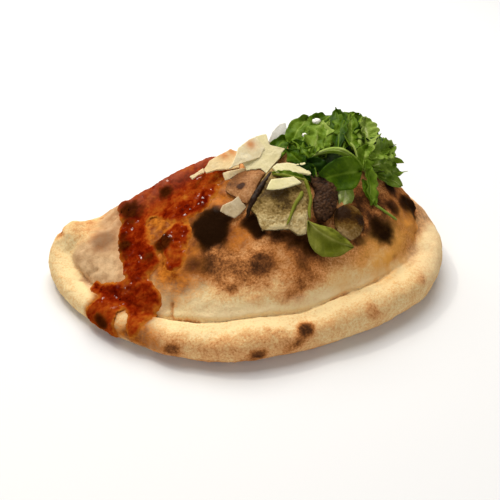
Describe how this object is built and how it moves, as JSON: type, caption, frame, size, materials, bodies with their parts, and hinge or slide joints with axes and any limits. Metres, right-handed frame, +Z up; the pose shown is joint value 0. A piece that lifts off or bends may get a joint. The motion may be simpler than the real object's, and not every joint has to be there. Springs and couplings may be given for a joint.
{
  "type": "calzone",
  "caption": "Baked folded calzone with a pinched half-moon rim and a domed body, topped with tomato sauce, mushroom slices, hard cheese shavings and a heap of rocket.",
  "frame": {"origin": "middle of the base, on the surface the calzone lies on", "axes": "+X along the fold, -Y from the fold towards the curved rim, +Z up"},
  "size_m": [0.2998, 0.1652, 0.1007],
  "materials": {
    "crust": "matte browned dough with charred spots",
    "tomato_sauce": "wet, with burnt edges",
    "mushroom": "roasted, satin",
    "cheese": "waxy, satin",
    "rocket": "satin leaf"
  },
  "bodies": {
    "root": {"crust": "crust", "tomato_sauce": "tomato_sauce", "mushroom_slice_large": "mushroom", "mushroom_slice_left": "mushroom", "mushroom_piece_dark": "mushroom", "mushroom_slice_right": "mushroom", "cheese_shaving_1": "cheese", "cheese_shaving_2": "cheese", "cheese_shaving_3": "cheese", "cheese_shaving_4": "cheese", "cheese_shaving_5": "cheese", "cheese_shaving_6": "cheese", "cheese_shaving_7": "cheese", "cheese_shaving_8": "cheese", "cheese_shaving_9": "cheese", "rocket_heap": "rocket", "rocket_leaf_front": "rocket", "rocket_stalk_front": "rocket", "rocket_stalk_slice": "rocket", "rocket_leaf_right": "rocket"}
  },
  "joints": []
}
